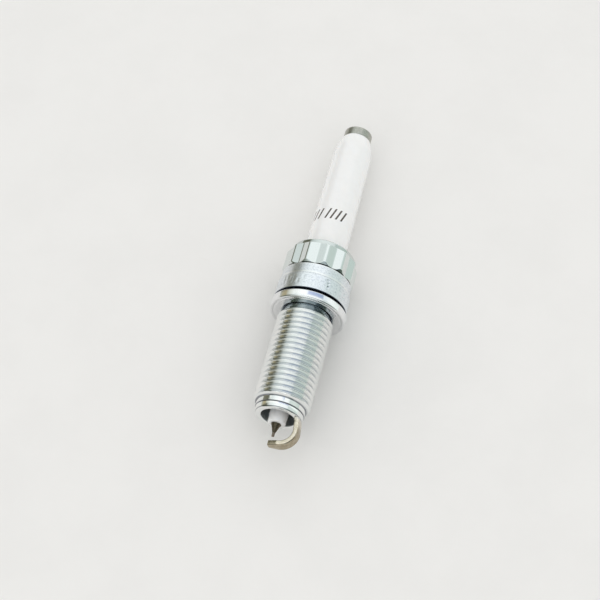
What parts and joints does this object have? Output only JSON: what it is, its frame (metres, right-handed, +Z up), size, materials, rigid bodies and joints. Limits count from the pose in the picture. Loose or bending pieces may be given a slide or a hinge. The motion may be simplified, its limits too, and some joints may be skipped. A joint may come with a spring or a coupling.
{
  "type": "spark plug",
  "caption": "Long-reach spark plug: plated threaded shell with twelve-point hexagon, loose folded gasket, white insulator, stub terminal, fine-wire tip and bent ground strap.",
  "frame": {"origin": "centre of the body's seat plane on the plug axis, where the gasket bears; the thread reach is measured from it", "axes": "+Y along the plug axis towards the terminal, -Y towards the firing end, +Z up with the plug lying on its side, +X to the ground strap's side"},
  "size_m": [0.0166, 0.081, 0.0166],
  "materials": {
    "plated_steel": "bright zinc-nickel plating",
    "gasket_metal": "bright plated sheet",
    "strap_nickel": "nickel alloy, straw heat tint",
    "precious_metal": "satin",
    "alumina": "clear glaze on white alumina",
    "terminal_metal": "dull nickel",
    "copper_glass": "fused copper-glass powder",
    "resistor_element": "carbon-glass",
    "electrode_nickel": "heat-tinted nickel alloy",
    "copper": "plain copper",
    "iridium": "fine drawn wire",
    "packing_steel": "plain steel",
    "talc": "packed powder"
  },
  "bodies": {
    "plug": {"shell": "plated_steel", "ground_electrode": "strap_nickel", "ground_pad": "precious_metal", "insulator": "alumina", "terminal_stud": "terminal_metal", "upper_glass_seal": "copper_glass", "resistor": "resistor_element", "lower_glass_seal": "copper_glass", "center_electrode": "electrode_nickel", "copper_core": "copper", "iridium_tip": "iridium", "front_packing": "packing_steel", "lower_packing_ring": "packing_steel", "talc_seal": "talc", "upper_packing_ring": "packing_steel"},
    "gasket": {"gasket": "gasket_metal"}
  },
  "joints": [
    {"name": "gasket_slide", "type": "slide", "parent": "plug", "child": "gasket", "axis": [0, 1, 0], "range_m": [-0.0009, 0.00078]}
  ]
}
